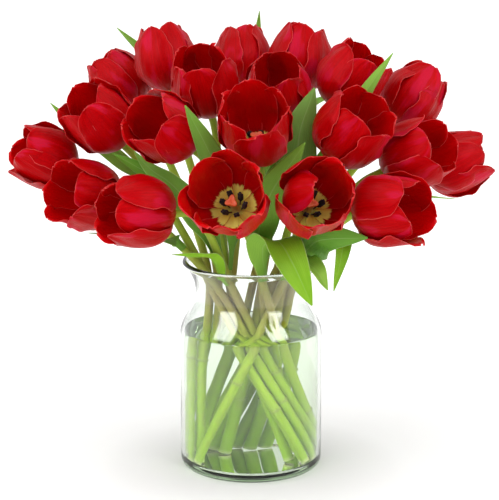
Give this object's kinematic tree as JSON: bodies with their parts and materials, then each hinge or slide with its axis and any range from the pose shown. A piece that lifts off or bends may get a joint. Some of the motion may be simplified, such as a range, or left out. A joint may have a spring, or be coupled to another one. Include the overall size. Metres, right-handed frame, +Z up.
{
  "type": "tulips in a vase",
  "caption": "Round bunch of red cut tulips with green leaves, standing in a clear glass jar vase part filled with water.",
  "frame": {"origin": "centre of the jar's flat underside, on the surface that it stands on", "axes": "+Z up along the jar's axis, -Y towards the front of the bunch, +X to its right"},
  "size_m": [0.4804, 0.3328, 0.4344],
  "materials": {
    "glass": "clear, polished, faint green tint",
    "water": "clear",
    "stem": "smooth living stem, satin",
    "petal": "waxy petal, satin",
    "leaf": "waxy leaf, satin"
  },
  "bodies": {
    "root": {"jar": "glass", "water": "water", "stem_01": "stem", "stem_02": "stem", "stem_03": "stem", "stem_04": "stem", "stem_05": "stem", "stem_06": "stem", "stem_07": "stem", "stem_08": "stem", "stem_09": "stem", "stem_10": "stem", "stem_11": "stem", "stem_12": "stem", "stem_13": "stem", "stem_14": "stem", "stem_15": "stem", "stem_16": "stem", "stem_17": "stem", "stem_18": "stem", "stem_19": "stem", "stem_20": "stem", "bloom_01": "petal", "bloom_02": "petal", "bloom_03": "petal", "bloom_04": "petal", "bloom_05": "petal", "bloom_06": "petal", "bloom_07": "petal", "bloom_08": "petal", "bloom_09": "petal", "bloom_10": "petal", "bloom_11": "petal", "bloom_12": "petal", "bloom_13": "petal", "bloom_14": "petal", "bloom_15": "petal", "bloom_16": "petal", "bloom_17": "petal", "bloom_18": "petal", "bloom_19": "petal", "bloom_20": "petal", "leaf_01": "leaf", "leaf_02": "leaf", "leaf_03": "leaf", "leaf_04": "leaf", "leaf_05": "leaf", "leaf_06": "leaf", "leaf_07": "leaf", "leaf_08": "leaf", "leaf_09": "leaf", "leaf_10": "leaf", "leaf_11": "leaf", "leaf_12": "leaf", "leaf_13": "leaf", "leaf_14": "leaf", "leaf_15": "leaf", "leaf_16": "leaf", "leaf_17": "leaf", "leaf_18": "leaf"}
  },
  "joints": []
}
